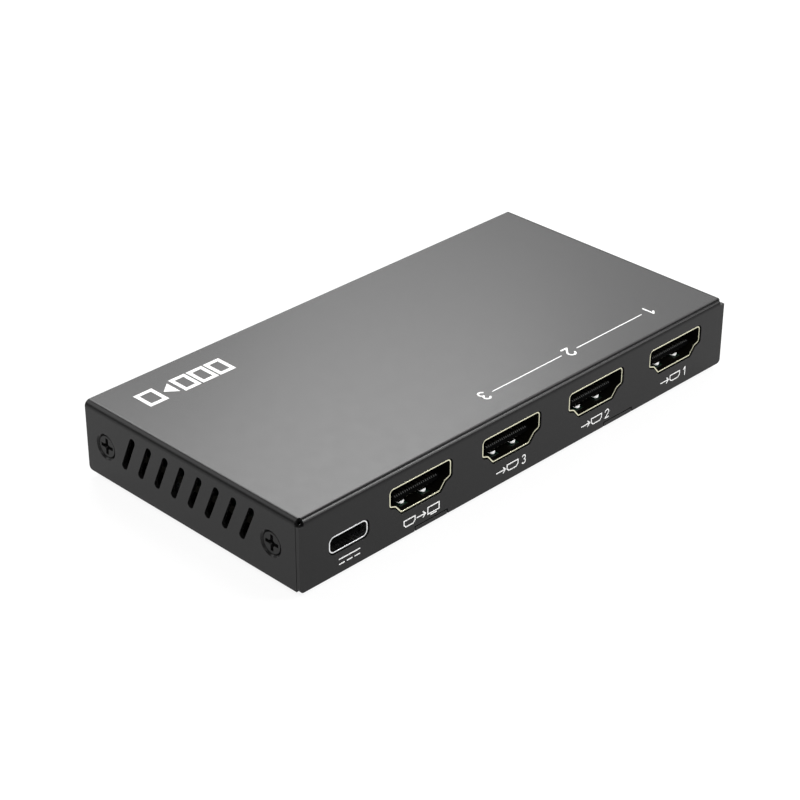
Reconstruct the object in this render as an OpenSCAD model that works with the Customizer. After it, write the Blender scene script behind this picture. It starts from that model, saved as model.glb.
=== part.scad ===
// Video switch box: a folded steel case round a circuit board with five sockets and a push button.
// Millimetres. X runs along the port side, Y from the port side to the control side, Z is up.
// The origin lies under the middle of the case, on the surface that the feet stand on.

/* [Case] */
// Length of the case along the port side
case_l = 112; // [102:0.5:140]
// Depth of the case from the port side to the control side
case_w = 56; // [55:0.5:80]
// Height of the case without its feet
case_h = 14.15; // [13:0.05:24]
// Thickness of the folded steel sheet
sheet_t = 0.8; // [0.6:0.05:1]
// Inner radius of the folds
fold_inner_r = 0.35; // [0.1:0.05:0.6]
// Radius of the flanges' lower corners
flange_corner_r = 0.8; // [0.3:0.1:2]
// Gap between the port panel and the side flanges
seam = 0.13; // [0.05:0.01:0.3]
// Gap between the cover's inner faces and the tray
nest_gap = 0.15; // [0.05:0.05:0.3]

/* [Hook tabs] */
// Width of each tab of the tray that hooks into the port panel
tab_w = 7.8; // [4:0.1:12]
// Distance between the middles of the two tabs
tab_spacing = 50; // [30:0.5:80]
// Gap round the hook tabs
tab_gap = 0.22; // [0.05:0.01:0.4]

/* [Vents] */
// Number of vent slots in each side flange
vent_count = 8; // [1:1:8]
// Distance from one vent slot to the next
vent_pitch = 4.46; // [3:0.02:4.5]
// Width of a vent slot
vent_w = 1.46; // [0.8:0.02:2]
// Length of a vent slot from round end to round end
vent_len = 7.88; // [4:0.02:8.5]
// Lean of the vent slots' tops towards the port side, in degrees
vent_lean = 23.8; // [0:0.1:30]
// Middle of the row of vents, from the middle of the case
vent_y = 0.58; // [-1:0.02:1]
// Middle of the vents below the case's top
vent_drop = 6.09; // [5:0.01:6.5]

/* [Side screws] */
// Distance between the two screws of one side
screw_spacing = 43.55; // [42:0.05:44.5]
// Middle between the two screws, from the middle of the case
screw_y = 0.83; // [0:0.01:1]
// Height of the screws above the case's underside
screw_z = 6.8; // [6:0.05:8]
// Thread diameter of the side screws
screw_d = 3; // [2.5:0.1:3]
// Length of the side screws with their heads
screw_len = 4; // [3.5:0.1:5]
// Diameter of the countersunk heads
screw_head_d = 4.4; // [4:0.1:5.4]
// Depth of the heads below the flanges' outer faces
screw_sink = 0.25; // [0:0.05:0.4]
// Gap round a screw's head and shank
screw_gap = 0.15; // [0.05:0.01:0.3]
// Width of the tray's ears that take the side screws
ear_w = 8; // [6:0.1:9]

/* [Sockets] */
// Distance from the case's -X end to the middle of the power socket
power_inset = 11.3; // [10.5:0.1:12.5]
// Distance from the -X end to the middle of the output socket
output_inset = 28.5; // [27:0.1:30]
// Distance from the +X end to the middle of the last input socket
input_inset = 14.5; // [12:0.1:18]
// Depth of the sockets' mouths behind the port panel's outer face
socket_recess = 0.22; // [0:0.02:0.5]
// Gap between a socket's shell and the port panel
socket_gap = 0.25; // [0.15:0.05:0.4]
// Width of a video socket's shell
hdmi_w = 15; // [14.6:0.1:15.4]
// Height of a video socket's shell
hdmi_h = 5.6; // [5.3:0.1:6]
// Depth of a video socket's shell
hdmi_d = 11; // [10:0.5:14]
// Thickness of a video socket's shell
hdmi_wall = 0.22; // [0.2:0.01:0.4]
// Width of a power socket's shell
usb_w = 8.94; // [8.8:0.02:9.2]
// Height of a power socket's shell
usb_h = 3.26; // [3.1:0.02:3.4]
// Depth of a power socket's shell
usb_d = 7.4; // [6.5:0.1:9]
// Thickness of a power socket's shell
usb_wall = 0.22; // [0.2:0.01:0.35]
// Corner radius of a power socket's shell
usb_corner_r = 1.15; // [0.8:0.05:1.5]
// Depth that the power socket sinks into the board
usb_sink = 0.78; // [0.4:0.02:1]

/* [Board] */
// Thickness of the circuit board
board_t = 1.6; // [1:0.1:2]
// Gap between the board's edges and the port and control panels
board_gap = 0.9; // [0.6:0.1:2]
// Height of the standoffs between the tray's floor and the board
standoff_h = 2.8; // [2.4:0.1:4]
// Outer diameter of the standoffs
standoff_d = 5; // [4.4:0.1:6]
// Thread diameter of the board screws
board_screw_d = 2.5; // [2:0.1:2.6]
// Side of the square heat sink
sink_w = 18; // [12:0.5:22]
// Gap between the heat sink's fins and the cover
sink_gap = 1.6; // [0.5:0.1:3]

/* [Controls] */
// Distance from the case's -X end to the middle of the select button
button_inset = 26; // [16:0.5:36]
// Height of the button, lights and receiver above the board
control_h = 2.8; // [2.6:0.1:3.5]
// Diameter of the select button
button_d = 5; // [4:0.1:6]
// Height of the button above the control panel
button_proud = 1; // [0.6:0.1:1.2]
// Travel of the button
button_travel = 0.4; // [0.2:0.05:0.5]
// Gap between pieces that slide past each other
slide_gap = 0.2; // [0.1:0.05:0.3]
// Diameter of the light pipes
light_d = 2; // [1.6:0.1:2.6]
// Distance between the lights of the inputs
light_pitch = 8; // [6:0.5:10]
// Distance from the case's +X end to the power light
power_light_inset = 10; // [8:0.5:12]
// Distance from the +X end to the middle of the receiver's window
window_inset = 22; // [18:0.5:28]
// Diameter of the receiver's window
window_d = 5; // [4:0.1:5.6]
// Gap round the light pipes and the window
lens_gap = 0.12; // [0.05:0.01:0.2]

/* [Feet] */
// Diameter of the rubber feet
foot_d = 8; // [6:0.5:10]
// Height of the rubber feet
foot_h = 1; // [0.6:0.1:3]
// Distance from the case's edges to the feet's middles
foot_inset = 8.5; // [6:0.5:12]

/* [Hidden] */
$fn = 48;
// Overlap of a cutting solid past the face that it cuts
cut = 0.5;
half_l = case_l / 2;
half_w = case_w / 2;
fold_r = sheet_t + fold_inner_r;
fold_lip = 0.2;

// Heights, with the length of an ear above its screw
ear_above = 4.2;
base_z = foot_h;
floor_z = base_z + sheet_t;
top_z = base_z + case_h;
board_z = floor_z + standoff_h;
board_top = board_z + board_t;
control_z = board_top + control_h;
ear_top_z = base_z + screw_z + ear_above;

// Faces of the tray and the panels, with the ears and the depth of the side screws' recesses
tray_half_l = half_l - sheet_t - nest_gap;
tray_front_y = -half_w + sheet_t + nest_gap;
panel_in_y = half_w - sheet_t;
flange_front_y = -half_w + sheet_t + seam;
screws_y = [screw_y - screw_spacing / 2, screw_y + screw_spacing / 2];
ear_relief = 0.6;
ear_corner_r = 1.5;
drawn_t = 0.55;
screw_recess = 0.9;
screw_recess_w = 3.2;

// Circuit board
board_side_gap = 0.5;
board_half_l = half_l - screw_sink - screw_len - board_side_gap;
board_front_y = -half_w + sheet_t + board_gap;
board_back_y = half_w - sheet_t - board_gap;
board_corner_r = 1.5;
standoff_inset = [3.5, 14];
standoff_behind = 3.7;
spigot_step = 0.5;
spigot_d = standoff_d - 2 * spigot_step;
board_screw_gap = 0.05;
board_head_d = board_screw_d * 1.8;
board_head_h = 1.6;
board_screw_grip = 2;

// Sockets, from the power socket's side: the output first, then the inputs from high to low
ports = ["output", "input_3", "input_2", "input_1"];
port_pitch = (case_l - output_inset - input_inset) / (len(ports) - 1);
function port_x(i) = -half_l + output_inset + i * port_pitch;
usb_x = -half_l + power_inset;
usb_z = board_top - usb_sink;
socket_y = -half_w + socket_recess;
standoffs = [
    [-board_half_l + standoff_inset.x, board_back_y - standoff_inset.y],
    [board_half_l - standoff_inset.x, board_back_y - standoff_inset.y],
    [(port_x(0) + port_x(1)) / 2, socket_y + hdmi_d + standoff_behind],
    [(port_x(2) + port_x(3)) / 2, socket_y + hdmi_d + standoff_behind]
];

// Video socket: outline of the shell, seen from its mouth, wide side up
hdmi_foot_inset = 2.75;
hdmi_foot_w = hdmi_w - 2 * hdmi_foot_inset;
hdmi_knee_inset = 1.4;
hdmi_knee = [hdmi_w / 2 - hdmi_knee_inset, 1.65];
hdmi_shoulder_z = 2.15;
hdmi_corner_r = 0.5;
hdmi_top_r = 0.85;
hdmi_knee_r = 0.8;
hdmi_outline = [
    [-hdmi_foot_w / 2, 0], [hdmi_foot_w / 2, 0],
    hdmi_knee, [hdmi_w / 2, hdmi_shoulder_z],
    [hdmi_w / 2, hdmi_h], [-hdmi_w / 2, hdmi_h],
    [-hdmi_w / 2, hdmi_shoulder_z], [-hdmi_knee.x, hdmi_knee.y]
];
// Radii of the outline's corners, with 0 for its two inward knees
hdmi_radii = [
    hdmi_corner_r, hdmi_corner_r, 0, hdmi_corner_r,
    hdmi_top_r, hdmi_top_r, hdmi_corner_r, 0
];
// Spring fingers: distance from mouth to tip, ridge and root, width, rise of ridge and tip, and spacing
finger_tip = 1.7;
finger_ridge = 2.25;
finger_heel = 4.6;
finger_root = 7;
finger_w = 1.6;
finger_rise = 0.4;
finger_tip_rise = 0.15;
finger_spacing = 5.3;
finger_slit = 0.3;
// Legs of the shell through the board
leg_w = 1.2;
leg_below = 0.6;
leg_inset = 1.5;
hdmi_legs = [2 * leg_inset, hdmi_d - leg_inset];
leg_gap = 0.12;
// Insulator and contacts
insulator_gap = 0.05;
block_gap = 0.2;
hdmi_block = finger_root + block_gap;
tongue_tip = 1.1;
tongue_w = 11;
tongue_z = [1.6, 2.85];
contact_t = 0.12;
contact_w = 0.4;
contact_pitch = 1;
contact_tip = 1.35;
contact_foot = 0.9;
contact_rows = [10, 9];

// Power socket: insulator and contacts
usb_block_d = 2.5;
usb_block = usb_d - usb_block_d;
usb_tongue_tip = 0.75;
usb_tongue_w = 6.6;
usb_tongue_t = 0.7;
usb_contact_t = 0.1;
usb_contact_w = 0.25;
usb_contact_pitch = 0.8;
usb_contact_tip = 0.95;
usb_contacts_per_row = 8;
usb_board_slot = usb_d + leg_gap;
usb_ears = [2, 5];
usb_ear_w = 1.2;
usb_ear_reach = 1;

// Button and tact switch, from the control panel inwards
button_x = -half_l + button_inset;
button_flange_w = 0.8;
button_flange_d = button_d + 2 * button_flange_w;
button_flange_t = 0.8;
button_flange_y = panel_in_y - slide_gap - button_flange_t;
button_edge = 0.4;
plunger_d = 3.2;
plunger_fit = 0.05;
sleeve_wall = 0.6;
sleeve_d = plunger_d + 2 * sleeve_wall;
sleeve_len = 2.6;
sleeve_y = button_flange_y - sleeve_len;
plunger_seat = 1.4;
plunger_tip_y = sleeve_y + plunger_seat;
sleeve_gap = 0.4;
switch_front_y = sleeve_y - button_travel - sleeve_gap;
switch_d = 3.6;
switch_w = 6;
switch_above = 2.6;
switch_h = control_h + switch_above;
switch_wall = 0.8;
collar_d = 4;
collar_t = 0.7;
collar_y = switch_front_y - switch_wall - slide_gap - collar_t;

// Lights: three inputs and power
light_xs = concat([half_l - power_light_inset], [for (i = [-1:1]) i * light_pitch]);
light_foot = 2.6;
light_depth = 4;
light_foot_y = panel_in_y - light_depth;
led_size = [1.6, 0.8, 0.6];
led_pocket_gap = 0.2;

// Infrared receiver and its window
window_x = half_l - window_inset;
window_flange = 0.8;
window_flange_w = 0.7;
receiver_w = 5;
receiver_d = 2.8;
receiver_dome_r = 1.9;
receiver_above = 0.8;
receiver_h = control_h + receiver_dome_r + receiver_above;
receiver_gap = 0.4;
receiver_front_y = panel_in_y - window_flange - receiver_dome_r - receiver_gap;
receiver_lift = 0.3;

// Components on the board: place from the middle of the board, and size
chip_at = [7, 1];
chip_size = [10, 10, 0.85];
pad_t = 0.5;
sink_base = 1.4;
sink_z = chip_size.z + pad_t;
sink_h = top_z - sheet_t - sink_gap - board_top - sink_z;
sink_fins = 7;
sink_fin_t = 0.9;
controller_at = [-17, 4];
controller_size = [7, 7, 1.1];
lead_size = [0.3, 1, 0.16];
crystal_at = [-26, 4];
crystal_size = [3.2, 2.5, 0.8];
power_parts_inset = 6.5;
regulator_at = [-board_half_l + power_parts_inset, -12];
regulator_size = [5, 4, 1.5];
inductor_offset = [9, 4];
inductor_at = regulator_at + inductor_offset;
inductor_size = [5, 5, 3];
capacitor_offsets = [[0, 9], [6.5, 13]];
capacitors_at = [for (p = capacitor_offsets) regulator_at + p];
capacitor_d = 5;
capacitor_h = 5.4;
ceramic_size = [1, 0.5, 0.5];
ceramic_gap = 2;
ceramic_ring = sink_w / 2 + ceramic_gap;
ceramic_pitch = 2;
ceramics_per_side = 5;
esd_size = [2.5, 1, 0.5];
esd_offset = 2.6;
esd_behind = 2.6;
esd_y = socket_y + hdmi_d + esd_behind;

// Outward normal of the edge from a to b of an outline that runs anticlockwise
function edge_normal(a, b) = [b.y - a.y, a.x - b.x] / norm(b - a);

// The outline p with every edge moved outwards by d
function grown(p, d) = [
    for (i = [0:len(p) - 1])
        let (a = p[(i + len(p) - 1) % len(p)], c = p[(i + 1) % len(p)])
        let (u = edge_normal(a, p[i]), v = edge_normal(p[i], c))
        p[i] + d * (u + v) / (1 + u * v)
];

// The outline p with every corner k rounded by an arc of radius r[k]
arc_steps = 5;
function rounded(p, r) = [
    for (i = [0:len(p) - 1])
        let (a = p[(i + len(p) - 1) % len(p)], c = p[(i + 1) % len(p)])
        let (u = edge_normal(a, p[i]), v = edge_normal(p[i], c))
        let (turn = atan2(u.x * v.y - u.y * v.x, u * v), side = sign(turn))
        let (centre = p[i] - side * r[i] * (u + v) / (1 + u * v), start = atan2(u.y, u.x))
        for (k = [0:arc_steps])
            let (angle = start + turn * k / arc_steps)
            centre + side * r[i] * [cos(angle), sin(angle)]
];

// Extrudes a shape drawn in X and Z along Y
module along_y(y, length) {
    translate([0, y + length, 0]) rotate([90, 0, 0]) linear_extrude(length) children();
}

// Extrudes a shape drawn in Y and Z along X
module along_x(x, length) {
    translate([x, 0, 0]) rotate([90, 0, 90]) linear_extrude(length) children();
}

// Both short sides of the case
module each_side() {
    children();
    mirror([1, 0, 0]) children();
}

// A block centred on its place on the board's upper face
module on_board(at, size, lift = 0) {
    translate([at.x - size.x / 2, at.y - size.y / 2, board_top + lift]) cube(size);
}

// A slot with round ends, middle at the origin, upright
module slot(width, length) {
    for (s = [-1, 1]) translate([0, s * (length - width) / 2]) circle(d = width);
    square([width, length - width], center = true);
}

// A rectangle with round corners, standing on the X axis
module rounded_plate(width, height, r) {
    for (s = [-1, 1], z = [r, height - r]) translate([s * (width / 2 - r), z]) circle(r);
    translate([-width / 2 + r, 0]) square([width - 2 * r, height]);
    translate([-width / 2, r]) square([width, height - 2 * r]);
}

// A quarter ring that turns a sheet from flat to upright, centred on the fold's axis,
// with a short lip that runs into each of the two flats
module fold_section() {
    intersection() {
        difference() {
            circle(fold_r);
            circle(fold_inner_r);
        }
        square(fold_r);
    }
    translate([-fold_lip, fold_inner_r]) square([fold_lip, sheet_t]);
    translate([fold_inner_r, -fold_lip]) square([sheet_t, fold_lip]);
}

// A rectangle whose lower corners are rounded by the radii left and right
module flange_outline(a, b, low, high, left, right) {
    difference() {
        translate([a, low]) square([b - a, high - low]);
        for (c = [[a, left, 0], [b, right, 1]])
            if (c[1] > 0) translate([c[0], low]) mirror([c[2], 0]) difference() {
                translate([-cut, -cut]) square(c[1] + cut);
                translate([c[1], c[1]]) circle(c[1]);
            }
    }
}

// Outline of a video socket, grown by d, with its inward knees rounded the other way
module hdmi_section(d) {
    polygon(rounded(grown(hdmi_outline, d), [for (r = hdmi_radii) r > 0 ? r + d : hdmi_knee_r - d]));
}

// Outline of the power socket, grown by d, standing on the X axis before it grows
module usb_section(d) {
    translate([0, -d]) rounded_plate(usb_w + 2 * d, usb_h + 2 * d, usb_corner_r + d);
}

// Cutting solid for one side screw, down from the flange's outer face: countersink and bore
module screw_hole() {
    bore = screw_d / 2 + screw_gap;
    rim = screw_head_d / 2 + screw_sink + screw_gap;
    translate([0, 0, -cut]) cylinder(r1 = rim + cut, r2 = bore, h = rim - bore + cut);
    cylinder(r = bore, h = screw_len + cut);
}

// Both screws of the +X side, turned so that Z runs down into the flange
module at_side_screws() {
    for (y = screws_y) translate([half_l, y, base_z + screw_z]) rotate([0, -90, 0]) children();
}

// Cross recess of a screw's head, cut downwards from the origin
module cross_recess(size, depth) {
    for (turn = [0, 90]) rotate(turn)
        translate([-size / 2, -size / 9, -depth]) cube([size, size / 4.5, depth + cut]);
    translate([0, 0, -depth]) cylinder(d1 = size / 5, d2 = size / 2.2, h = depth + cut / 10);
}

// Top plate, port panel and both side flanges, folded from one sheet
module top_cover() {
    color("#3f4042") difference() {
        union() {
            translate([-half_l + fold_r, -half_w + fold_r, top_z - sheet_t])
                cube([case_l - 2 * fold_r, case_w - fold_r, sheet_t]);
            along_x(-half_l + fold_r, case_l - 2 * fold_r)
                translate([-half_w + fold_r, top_z - fold_r]) mirror([1, 0]) fold_section();
            along_y(-half_w, sheet_t)
                flange_outline(-half_l, half_l, base_z, top_z - fold_r, flange_corner_r, flange_corner_r);
            each_side() {
                along_y(-half_w + fold_r, case_w - fold_r)
                    translate([half_l - fold_r, top_z - fold_r]) fold_section();
                along_x(half_l - sheet_t, sheet_t)
                    flange_outline(flange_front_y, half_w, base_z, top_z - fold_r, 0, flange_corner_r);
            }
        }
        port_cuts();
        each_side() side_cuts();
    }
}

// Openings of the port panel: sockets and the hook tabs' notches
module port_cuts() {
    along_y(-half_w - cut, sheet_t + 2 * cut) {
        for (i = [0:len(ports) - 1]) translate([port_x(i), board_top]) hdmi_section(socket_gap);
        translate([usb_x, usb_z]) usb_section(socket_gap);
        for (s = [-1, 1]) translate([s * tab_spacing / 2 - tab_w / 2 - tab_gap, base_z - cut])
            square([tab_w + 2 * tab_gap, sheet_t + tab_gap + cut]);
    }
}

// Openings of one side flange: vents and countersunk holes
module side_cuts() {
    along_x(half_l - sheet_t - cut, sheet_t + 2 * cut)
        for (i = [0:vent_count - 1])
            translate([vent_y + (i - (vent_count - 1) / 2) * vent_pitch, top_z - vent_drop])
                rotate(vent_lean) slot(vent_w, vent_len);
    at_side_screws() screw_hole();
}

// Floor, control panel, ears and hook tabs, folded from one sheet
module bottom_tray() {
    color("#38393b") difference() {
        union() {
            tray_floor();
            along_x(-tray_half_l, 2 * tray_half_l)
                translate([half_w - fold_r, base_z + fold_r]) mirror([0, 1]) fold_section();
            translate([-tray_half_l, panel_in_y, base_z + fold_r])
                cube([2 * tray_half_l, sheet_t, case_h - fold_r - sheet_t - nest_gap]);
            for (s = [-1, 1]) translate([s * tab_spacing / 2 - tab_w / 2, -half_w, base_z])
                cube([tab_w, tray_front_y + half_w + fold_r, sheet_t]);
            each_side() for (y = screws_y) ear(y);
        }
        for (p = standoffs) translate([p.x, p.y, base_z - cut])
            cylinder(d = spigot_d + 2 * board_screw_gap, h = sheet_t + 2 * cut);
        each_side() at_side_screws() screw_hole();
        panel_cuts();
    }
}

// Flat of the tray, cut back at the ears' folds
module tray_floor() {
    difference() {
        translate([-tray_half_l, tray_front_y, base_z])
            cube([2 * tray_half_l, half_w - fold_r - tray_front_y, sheet_t]);
        each_side() for (y = screws_y)
            translate([tray_half_l - fold_r, y - ear_w / 2 - ear_relief, base_z - cut])
                cube([fold_r + cut, ear_w + 2 * ear_relief, sheet_t + 2 * cut]);
    }
}

// One ear on the +X side with the drawn collar round its tapped hole
module ear(y) {
    low = y - ear_w / 2;
    along_y(low, ear_w) translate([tray_half_l - fold_r, base_z + fold_r]) mirror([0, 1]) fold_section();
    along_x(tray_half_l - sheet_t, sheet_t) mirror([0, 1])
        flange_outline(low, low + ear_w, -ear_top_z, -base_z - fold_r, ear_corner_r, ear_corner_r);
    translate([tray_half_l - 2 * sheet_t, y, base_z + screw_z]) rotate([0, 90, 0])
        cylinder(d = screw_d + 2 * screw_gap + 2 * drawn_t, h = 1.5 * sheet_t);
}

// Openings of the control panel: button, lights and the receiver's window
module panel_cuts() {
    along_y(panel_in_y - cut, sheet_t + 2 * cut) {
        translate([button_x, control_z]) circle(d = button_d + 2 * slide_gap);
        translate([window_x, control_z]) circle(d = window_d + 2 * lens_gap);
        for (x = light_xs) translate([x, control_z]) circle(d = light_d + 2 * lens_gap);
    }
}

// Four countersunk screws that hold the cover to the ears
module side_screws() {
    neck = (screw_head_d - screw_d) / 2;
    color("#2b2b2d") each_side() at_side_screws() translate([0, 0, screw_sink]) difference() {
        union() {
            cylinder(d1 = screw_head_d, d2 = screw_d, h = neck);
            translate([0, 0, neck / 2]) cylinder(d = screw_d, h = screw_len - neck / 2);
        }
        mirror([0, 0, 1]) cross_recess(screw_recess_w, screw_recess);
    }
}

// Four stick-on feet under the tray
module rubber_feet() {
    bevel = 0.2;
    color("#1c1c1c") for (x = [-1, 1], y = [-1, 1])
        translate([x * (half_l - foot_inset), y * (half_w - foot_inset), 0]) {
            cylinder(d1 = foot_d - 2 * bevel, d2 = foot_d, h = bevel);
            translate([0, 0, bevel]) cylinder(d = foot_d, h = foot_h - bevel);
        }
}

// Circuit board with its screw holes, leg slots and the notches for the power socket and the button
module main_board() {
    slit = hdmi_wall + 2 * leg_gap;
    usb_slit_x = usb_w / 2 + usb_ear_reach - usb_wall;
    color("#1f4a33") translate([0, 0, board_z]) linear_extrude(board_t) difference() {
        polygon(rounded([
            [-board_half_l, board_front_y], [board_half_l, board_front_y],
            [board_half_l, board_back_y], [-board_half_l, board_back_y]], board_corner_r * [1, 1, 1, 1]));
        for (p = standoffs) translate(p) circle(d = board_screw_d + 4 * board_screw_gap);
        for (i = [0:len(ports) - 1], u = hdmi_legs, s = [-1, 1])
            translate([port_x(i) + s * (hdmi_w - hdmi_wall) / 2, socket_y + u])
                square([slit, leg_w + 2 * leg_gap], center = true);
        translate([usb_x - usb_w / 2 - leg_gap, board_front_y - cut])
            square([usb_w + 2 * leg_gap, socket_y + usb_board_slot - board_front_y + cut]);
        for (u = usb_ears, s = [-1, 1])
            translate([usb_x + s * (usb_slit_x + usb_wall / 2), socket_y + u + usb_ear_w / 2])
                square([usb_wall + 2 * leg_gap, usb_ear_w + 2 * leg_gap], center = true);
        translate([button_x - button_flange_d / 2 - slide_gap, button_flange_y - button_travel - slide_gap])
            square([button_flange_d + 2 * slide_gap, half_w]);
    }
}

// Threaded pillars pressed into the tray's floor
module board_standoffs() {
    color("#b9bbbe") for (p = standoffs) translate([p.x, p.y, base_z]) difference() {
        union() {
            cylinder(d = spigot_d, h = sheet_t);
            translate([0, 0, sheet_t]) cylinder(d = standoff_d, h = standoff_h);
        }
        translate([0, 0, -cut])
            cylinder(d = board_screw_d + 2 * board_screw_gap, h = sheet_t + standoff_h + 2 * cut);
    }
}

// Pan-head screws that hold the board to its pillars
module board_screws() {
    color("#c4c6c9") for (p = standoffs) translate([p.x, p.y, board_top]) difference() {
        union() {
            cylinder(d = board_head_d, h = board_head_h);
            translate([0, 0, -board_t - board_screw_grip])
                cylinder(d = board_screw_d, h = board_t + board_screw_grip + board_head_h / 2);
        }
        translate([0, 0, board_head_h]) cross_recess(0.6 * board_head_d, 0.6 * board_head_h);
    }
}

// Places a video socket: x across its mouth, y into it, z up from the board
module at_port(i) {
    translate([port_x(i), socket_y, board_top]) children();
}

// The spring fingers of a shell's floor, standing in their windows
module hdmi_fingers() {
    rise = [[finger_root, 0], [finger_heel, 0], [finger_ridge, finger_rise], [finger_tip, finger_tip_rise]];
    for (s = [-1, 1]) translate([s * finger_spacing / 2, 0, 0]) intersection() {
        along_x(-finger_w / 2, finger_w)
            polygon(concat(rise, [for (k = [3:-1:0]) rise[k] + [0, hdmi_wall]]));
        translate([0, finger_tip, -cut]) linear_extrude(finger_rise + hdmi_wall + 2 * cut) {
            translate([0, finger_w / 2]) circle(d = finger_w);
            translate([-finger_w / 2, finger_w / 2]) square([finger_w, finger_root]);
        }
    }
}

// The slits round the spring fingers of a shell's floor
module hdmi_finger_windows() {
    start = finger_tip - 2 * finger_slit;
    for (s = [-1, 1]) translate([s * finger_spacing / 2 - finger_w / 2 - finger_slit, start, -cut])
        cube([finger_w + 2 * finger_slit, finger_root - finger_slit - start, hdmi_wall + 2 * cut]);
}

// Both the floor and, upside down, the roof of a shell
module floor_and_roof() {
    children();
    translate([0, 0, hdmi_h]) mirror([0, 0, 1]) children();
}

// Stamped shell of a video socket with its spring fingers and board legs
module hdmi_shell(i) {
    color("#d6c9a0") at_port(i) {
        difference() {
            along_y(0, hdmi_d) hdmi_section(0);
            along_y(-cut, hdmi_d + 2 * cut) hdmi_section(-hdmi_wall);
            floor_and_roof() hdmi_finger_windows();
        }
        floor_and_roof() hdmi_fingers();
        for (s = [-1, 1], u = hdmi_legs)
            translate([s * (hdmi_w - hdmi_wall) / 2 - hdmi_wall / 2, u - leg_w / 2, -board_t - leg_below])
                cube([hdmi_wall, leg_w, board_t + leg_below + hdmi_shoulder_z + hdmi_corner_r]);
    }
}

// Side views of a contact in the upper row and in the lower row: blade, drop and board foot
module hdmi_contact_side(row) {
    z = row == 0 ? tongue_z[1] : tongue_z[0] - contact_t;
    rear = hdmi_d + contact_t;
    polygon([
        [contact_tip, z], [rear, z], [rear, 0], [rear + contact_foot, 0],
        [rear + contact_foot, contact_t], [rear + contact_t, contact_t],
        [rear + contact_t, z + contact_t], [contact_tip, z + contact_t]
    ]);
}

// Both rows of contacts of a video socket, the lower row half a step aside
module hdmi_contact_rows() {
    for (row = [0, 1], k = [0:contact_rows[row] - 1])
        along_x((k - (contact_rows[row] - 1) / 2) * contact_pitch - contact_w / 2, contact_w)
            hdmi_contact_side(row);
}

// Moulded block and tongue of a video socket
module hdmi_insulator(i) {
    nose = 0.25;
    color("#141414") at_port(i) difference() {
        union() {
            along_y(hdmi_block, hdmi_d - hdmi_block) hdmi_section(-hdmi_wall - insulator_gap);
            along_x(-tongue_w / 2, tongue_w) polygon([
                [tongue_tip, tongue_z[0] + nose], [tongue_tip + nose, tongue_z[0]],
                [hdmi_block + cut, tongue_z[0]], [hdmi_block + cut, tongue_z[1]],
                [tongue_tip + nose, tongue_z[1]], [tongue_tip, tongue_z[1] - nose]
            ]);
        }
        hdmi_contact_rows();
    }
}

// Contacts of a video socket
module hdmi_contacts(i) {
    color("#c9a659") at_port(i) hdmi_contact_rows();
}

// Places the power socket: x across its mouth, y into it, z up from its underside
module at_usb() {
    translate([usb_x, socket_y, usb_z]) children();
}

// Drawn shell of the power socket with the ears that hold it in the board's notch
module usb_c_shell() {
    color("#cfd1d4") at_usb() {
        difference() {
            along_y(0, usb_d) usb_section(0);
            along_y(-cut, usb_d + 2 * cut) usb_section(-usb_wall);
        }
        for (s = [0, 1], u = usb_ears) mirror([s, 0, 0]) translate([usb_w / 2, u, usb_sink]) {
            translate([-usb_wall * 1.2, 0, 0]) cube([usb_ear_reach + usb_wall * 1.2, usb_ear_w, usb_wall]);
            translate([usb_ear_reach - usb_wall, 0, -board_t - leg_below])
                cube([usb_wall, usb_ear_w, board_t + leg_below + usb_wall]);
        }
    }
}

// Both rows of contacts of the power socket
module usb_contact_rows() {
    rear = usb_d + usb_contact_t;
    for (row = [0, 1], k = [0:usb_contacts_per_row - 1]) {
        x = (k - usb_contacts_per_row / 2 + 0.25 + row / 2) * usb_contact_pitch;
        z = (usb_h + (row == 0 ? usb_tongue_t : -usb_tongue_t - 2 * usb_contact_t)) / 2;
        along_x(x - usb_contact_w / 2, usb_contact_w) polygon([
            [usb_contact_tip, z], [rear, z], [rear, usb_sink], [rear + contact_foot, usb_sink],
            [rear + contact_foot, usb_sink + usb_contact_t], [rear + usb_contact_t, usb_sink + usb_contact_t],
            [rear + usb_contact_t, z + usb_contact_t], [usb_contact_tip, z + usb_contact_t]
        ]);
    }
}

// Moulded block and tongue of the power socket
module usb_c_insulator() {
    color("#161616") at_usb() difference() {
        union() {
            along_y(usb_block, usb_d - usb_block) usb_section(-usb_wall - insulator_gap);
            translate([-usb_tongue_w / 2, usb_tongue_tip, (usb_h - usb_tongue_t) / 2])
                cube([usb_tongue_w, usb_block + cut - usb_tongue_tip, usb_tongue_t]);
        }
        usb_contact_rows();
    }
}

// Contacts of the power socket
module usb_c_contacts() {
    color("#c9a659") at_usb() usb_contact_rows();
}

// Switching chip
module switch_chip() {
    color("#202022") on_board(chip_at, chip_size);
}

// Soft pad between the chip and its heat sink
module thermal_pad() {
    color("#8fa3b5") on_board(chip_at, [chip_size.x, chip_size.y, pad_t], chip_size.z);
}

// Finned heat sink on the pad
module heat_sink() {
    step = (sink_w - sink_fin_t) / (sink_fins - 1);
    color("#a9acb0") {
        on_board(chip_at, [sink_w, sink_w, sink_base], sink_z);
        for (k = [0:sink_fins - 1])
            on_board(chip_at + [(k - (sink_fins - 1) / 2) * step, 0], [sink_fin_t, sink_w, sink_h], sink_z);
    }
}

// Controller with leads on all four sides
module controller_chip() {
    leads_per_side = 8;
    lead_pitch = 0.8;
    lead_root = 0.3;
    color("#242426") {
        on_board(controller_at, controller_size, lead_size.z);
        for (turn = [0:90:270], k = [0:leads_per_side - 1])
            translate([controller_at.x, controller_at.y, board_top]) rotate(turn)
                translate([
                    (k - (leads_per_side - 1) / 2) * lead_pitch - lead_size.x / 2,
                    controller_size.y / 2 - lead_root, 0])
                    cube([lead_size.x, lead_size.y, 2 * lead_size.z]);
    }
}

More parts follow.
